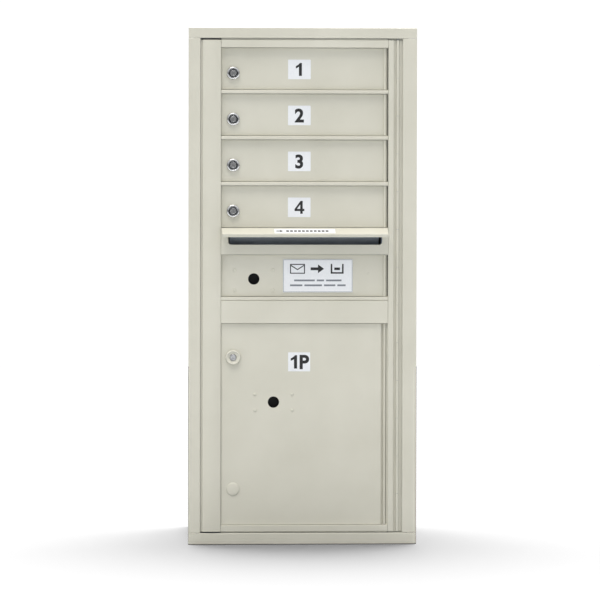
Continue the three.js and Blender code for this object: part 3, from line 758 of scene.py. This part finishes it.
def roundedRectangle(width, height, corner, steps=4):
    points = []
    for quarter, (sx, sz) in enumerate(((1, 1), (-1, 1), (-1, -1), (1, -1))):
        x, z = sx * (width / 2 - corner), sz * (height / 2 - corner)
        for step in range(steps + 1):
            angle = pi / 2 * (quarter + step / steps)
            points.append((x + corner * cos(angle), z + corner * sin(angle)))
    return points


def bar(x0, x1, z0, z1):
    return [(x0, z0), (x1, z0), (x1, z1), (x0, z1)]


# Two figures with heavier strokes than the built-in font's, in units of their height.
ownGlyphs = {
    "1": [[
        (-0.04, 0), (0.19, 0), (0.19, 1), (0.03, 1), (-0.05, 0.9), (-0.16, 0.82), (-0.28, 0.76),
        (-0.28, 0.58), (-0.16, 0.63), (-0.04, 0.7),
    ]],
    "4": [
        [
            (0.08, 0), (0.27, 0), (0.27, 0.21), (0.4, 0.21), (0.4, 0.38), (0.27, 0.38), (0.27, 1),
            (0.1, 1), (-0.36, 0.37), (-0.36, 0.21), (0.08, 0.21),
        ],
        [(0.08, 0.38), (0.08, 0.72), (-0.17, 0.38)],
    ],
}
builtInFont = {"capHeight": 0.7, "weight": 0.034, "weld": 0.01}
film = {"thick": 0.15, "corner": 1.2, "gap": 0.02, "inkThick": 0.04, "inkGap": 0.01}


def glyph(character, height):
    if character in ownGlyphs:
        loops = [[(x * height, z * height) for x, z in loop] for loop in ownGlyphs[character]]
        return flatShape(loops, film["inkThick"])
    text = bpy.data.curves.new("glyph", "FONT")
    text.body = character
    text.size = 1
    text.offset = builtInFont["weight"]
    text.align_x = "CENTER"
    holder = bpy.data.objects.new("glyph", text)
    bpy.context.scene.collection.objects.link(holder)
    bpy.context.view_layer.update()
    shape = bmesh.new()
    shape.from_mesh(holder.to_mesh())
    bpy.data.objects.remove(holder)
    bpy.data.curves.remove(text)
    scale = height / builtInFont["capHeight"] * mm
    upright = Matrix.Rotation(pi / 2, 4, "X") @ Matrix.Scale(scale, 4)
    bmesh.ops.transform(shape, matrix=upright, verts=shape.verts)
    bmesh.ops.remove_doubles(shape, verts=shape.verts, dist=builtInFont["weld"] * mm)
    return thicken(shape, film["inkThick"])


def placed(shape, x, y, z):
    bmesh.ops.translate(shape, verts=shape.verts, vec=(x, y, z))
    return shape


# drop is from the door's top edge to the label's middle, step from one character to the next.
numberLabel = {"width": 44, "height": 38, "x": -6.5, "drop": 41.2, "glyph": 25, "step": 0}
parcelLabel = {"width": 43, "height": 37, "x": -6.4, "drop": 73.8, "glyph": 26, "step": 18}


def doorLabel(door, face, label, text):
    body = nodes[door]["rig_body"]
    x, z = label["x"] * mm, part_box(door)[1].z - label["drop"] * mm
    outline = roundedRectangle(label["width"], label["height"], film["corner"])
    card = placed(flatShape([outline], film["thick"]), x, face - film["gap"] * mm, z)
    finishPiece(f"{door}_label", card, "label_white", body)
    inkFace = face - (film["gap"] + film["thick"] + film["inkGap"]) * mm
    ink = bmesh.new()
    for place, character in enumerate(text):
        shift = (place - (len(text) - 1) / 2) * label["step"]
        one = glyph(character, label["glyph"])
        merge(ink, placed(one, x + shift * mm, inkFace, z - label["glyph"] / 2 * mm))
    finishPiece(f"{door}_label_ink", ink, "ink", body)


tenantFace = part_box("tenant_door_1_lock_body")[0].y + tenantRing["proud"] * mm
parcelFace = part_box("parcel_door_lock_body")[0].y + parcelRing["proud"] * mm
for number, door in enumerate(tenantDoors, 1):
    doorLabel(door, tenantFace, numberLabel, str(number))
doorLabel("parcel_door", parcelFace, parcelLabel, "1P")


# Generic print: an envelope, an arrow, a tray and plain bars stand in for words.
def envelope(x, z, width, height, line):
    right, top = x + width, z + height
    middle, fold = (x + right) / 2, z + height * 0.36
    border = [bar(x, right, z, top), bar(x + line, right - line, z + line, top - line)]
    flap = [
        (x + line, top - line), (x + line, top - 2.2 * line), (middle, fold),
        (right - line, top - 2.2 * line), (right - line, top - line), (middle, fold + 1.2 * line),
    ]
    return [border, [flap]]


def arrow(x, z, width, height):
    shaft = height * 0.16
    neck = x + width * 0.55
    middle = z + height / 2
    return [[[
        (x, middle - shaft), (neck, middle - shaft), (neck, z), (x + width, middle),
        (neck, z + height), (neck, middle + shaft), (x, middle + shaft),
    ]]]


def tray(x, z, width, height, wall):
    right, top = x + width, z + height
    return [[[
        (x, z), (right, z), (right, top), (right - wall, top), (right - wall, z + wall),
        (x + wall, z + wall), (x + wall, top), (x, top),
    ]]]


def printed(name, parts, paint, body, matrix):
    shape = bmesh.new()
    for loops in parts:
        merge(shape, flatShape(loops, film["inkThick"]))
    bmesh.ops.transform(shape, matrix=matrix, verts=shape.verts)
    finishPiece(name, shape, paint, body)


# x and z are from the plate's middle. rows gives each line of bars by its height.
carrierPrint = {
    "envelope": {"x": -54, "z": 4, "width": 29, "height": 19, "line": 1.9},
    "arrow": {"x": -14, "z": 5, "width": 26, "height": 17},
    "tray": {"x": 25, "z": 4, "width": 25, "height": 19, "wall": 3},
    "inTray": (32, 43, 11, 16),
    "margin": 0.8,
    "border": 0.7,
    "rows": {
        -9: ((-46, -6), (-2, 12), (16, 46)),
        -18.5: ((-54, -30), (-26, 8), (12, 34), (38, 54)),
    },
    "rowHeight": 3.4,
}


def carrierPlatePrint():
    low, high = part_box("carrier_label_plate")
    middle = (low + high) / 2
    place = Matrix.Translation((middle.x, low.y - film["gap"] * mm, middle.z))
    body = nodes["carrier_label_plate"]["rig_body"]
    art = carrierPrint
    signs = envelope(**art["envelope"]) + arrow(**art["arrow"]) + tray(**art["tray"])
    signs.append([bar(*art["inTray"])])
    printed("carrier_plate_pictograms", signs, "ink", body, place)
    across = (high.x - low.x) / mm / 2 - art["margin"]
    up = (high.z - low.z) / mm / 2 - art["margin"]
    edge, half = art["border"], art["rowHeight"] / 2
    outer = bar(-across, across, -up, up)
    inner = bar(edge - across, across - edge, edge - up, up - edge)
    lines = [[outer, inner]]
    for row, spans in art["rows"].items():
        lines += [[bar(start, end, row - half, row + half)] for start, end in spans]
    printed("carrier_plate_lines", lines, "grey_ink", body, place)


carrierPlatePrint()

# The hood's roof falls from topY, at the hood's top, to its front edge.
hoodSticker = {
    "x": 3.1, "width": 118, "height": 20, "corner": 1,
    "slope": 24.3, "fall": 11.6, "topY": -11.3, "lift": 0.05, "inkLift": 0.02,
    "arrow": {"x": -55, "z": -5, "width": 13, "height": 10},
    "bars": 11, "barsFrom": -36, "barsWide": 84, "barGap": 2.4, "barHeight": 6,
}


def hoodPrint():
    low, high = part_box("slot_hood")
    art = hoodSticker
    slope = radians(art["slope"])
    roofLow = Vector((art["x"] * mm, low.y, high.z - art["fall"] * mm))
    roofHigh = Vector((art["x"] * mm, art["topY"] * mm, high.z))
    normal = Vector((0, -sin(slope), cos(slope)))
    place = Matrix.Translation((roofLow + roofHigh) / 2 + normal * art["lift"] * mm)
    tilt = Matrix.Rotation(slope - pi / 2, 4, "X")
    body = nodes["slot_hood"]["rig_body"]
    card = flatShape([roundedRectangle(art["width"], art["height"], art["corner"])], film["thick"])
    bmesh.ops.transform(card, matrix=place @ tilt, verts=card.verts)
    finishPiece("slot_hood_sticker", card, "label_white", body)
    above = Matrix.Translation(normal * (film["thick"] + art["inkLift"]) * mm)
    parts = arrow(**art["arrow"])
    step, half = art["barsWide"] / art["bars"], art["barHeight"] / 2
    for index in range(art["bars"]):
        left = art["barsFrom"] + index * step
        parts.append([bar(left, left + step - art["barGap"], -half, half)])
    printed("slot_hood_sticker_ink", parts, "ink", body, above @ place @ tilt)


hoodPrint()
print("labels made")

# Floor, world, lights and camera. Lengths here are in metres.
studio = {
    "floor": 14,
    "floorGap": 0.0004,
    "floorTone": (190, 190, 190),
    "floorPaler": (196, 196, 196),
    "floorCloud": 3,
    "floorRoughness": 0.9,
    "lampDistance": 4,
    "key": {
        "source": (-0.12, -0.3, 0.95), "strength": 2.42, "angle": 40, "tone": (1.0, 0.95, 0.9),
    },
    "backLight": {
        "source": (0.02, 0.42, 1.0), "strength": 5.6, "angle": 48, "tone": (1, 1, 1),
    },
    "skyTone": (0.97, 1.0, 1.03),
    "sky": 0.61,
    "backdrop": 1.05,
    "mirrorLow": 0.28,
    "mirrorHigh": 1.15,
    "mirrorBand": (0.05, 0.55),
}
viewpoint = {
    "azimuth": -3.5,
    "elevation": 2.0,
    "away": 9.0,
    "aim": (-0.0053, -0.012, 0.4567),
    "lens": 279,
    "sensor": 36,
    "clipEnd": 60,
    "roll": 0.1,
}


def makeFloor():
    shape = bmesh.new()
    bmesh.ops.create_grid(shape, x_segments=1, y_segments=1, size=studio["floor"] / 2)
    bottom = Matrix.Translation((0, 0, cadBounds[0].z - studio["floorGap"]))
    bmesh.ops.transform(shape, matrix=bottom, verts=shape.verts)
    mesh = bpy.data.meshes.new("floor")
    shape.to_mesh(mesh)
    shape.free()
    paint = Paint("floorPaint", Roughness=studio["floorRoughness"])
    cloud = paint.noise(studio["floorCloud"], 3)
    tone = paint.colours(cloud, colour(*studio["floorTone"]), colour(*studio["floorPaler"]))
    mesh.materials.append(paint.finish(tone))
    floor = bpy.data.objects.new("floor", mesh)
    floor.is_shadow_catcher = True
    bpy.context.scene.collection.objects.link(floor)
    return floor


# The camera sees white. Everything else sees the sky, and mirrors see it dark near the horizon.
def makeWorld():
    world = bpy.data.worlds.new("studio")
    world.use_nodes = True
    tree = world.node_tree

    def glow(strength, tone=(1, 1, 1)):
        made = tree.nodes.new("ShaderNodeBackground")
        made.inputs["Color"].default_value = (*tone, 1)
        made.inputs["Strength"].default_value = strength
        return made.outputs[0]

    def mixed(factor, first, second):
        made = tree.nodes.new("ShaderNodeMixShader")
        for place, source in enumerate((factor, first, second)):
            tree.links.new(source, made.inputs[place])
        return made.outputs[0]

    direction = tree.nodes.new("ShaderNodeTexCoord").outputs["Generated"]
    parts = tree.nodes.new("ShaderNodeSeparateXYZ")
    tree.links.new(direction, parts.inputs[0])
    band = tree.nodes.new("ShaderNodeMapRange")
    tree.links.new(parts.outputs["Z"], band.inputs["Value"])
    for end, height in zip(("From Min", "From Max"), studio["mirrorBand"]):
        band.inputs[end].default_value = height
    mirrored = mixed(band.outputs[0], glow(studio["mirrorLow"]), glow(studio["mirrorHigh"]))
    path = tree.nodes.new("ShaderNodeLightPath")
    sky = glow(studio["sky"], studio["skyTone"])
    unseen = mixed(path.outputs["Is Glossy Ray"], sky, mirrored)
    seen = mixed(path.outputs["Is Camera Ray"], unseen, glow(studio["backdrop"]))
    tree.links.new(seen, tree.nodes["World Output"].inputs[0])
    bpy.context.scene.world = world


def sunLight(name, source, strength, angle, tone):
    light = bpy.data.lights.new(name, "SUN")
    light.energy = strength
    light.angle = radians(angle)
    light.color = tone
    made = bpy.data.objects.new(name, light)
    bpy.context.scene.collection.objects.link(made)
    made.location = Vector(source) * studio["lampDistance"]
    made.rotation_euler = (-made.location).to_track_quat("-Z", "Y").to_euler()
    return made


def leaveOut(light, unlit):
    receivers = bpy.data.collections.new("keyReceivers")
    receivers.objects.link(unlit)
    receivers.collection_objects[0].light_linking.link_state = "EXCLUDE"
    light.light_linking.receiver_collection = receivers


def makeCamera():
    turn = radians(viewpoint["azimuth"])
    rise = radians(viewpoint["elevation"])
    back = Vector((sin(turn) * cos(rise), -cos(turn) * cos(rise), sin(rise)))
    camera = bpy.data.cameras.new("camera")
    camera.lens = viewpoint["lens"]
    camera.sensor_width = viewpoint["sensor"]
    camera.clip_end = viewpoint["clipEnd"]
    made = bpy.data.objects.new("camera", camera)
    bpy.context.scene.collection.objects.link(made)
    made.location = Vector(viewpoint["aim"]) + back * viewpoint["away"]
    roll = Quaternion((0, 0, 1), radians(viewpoint["roll"]))
    made.rotation_euler = (back.to_track_quat("Z", "Y") @ roll).to_euler()
    bpy.context.scene.camera = made


floor = makeFloor()
makeWorld()
# The key leaves the floor out, so that only the soft back light draws the shadow on it.
leaveOut(sunLight("key", **studio["key"]), floor)
sunLight("backLight", **studio["backLight"])
makeCamera()
bpy.context.scene.view_settings.view_transform = "Standard"
print("studio ready")

bpy.context.view_layer.update()
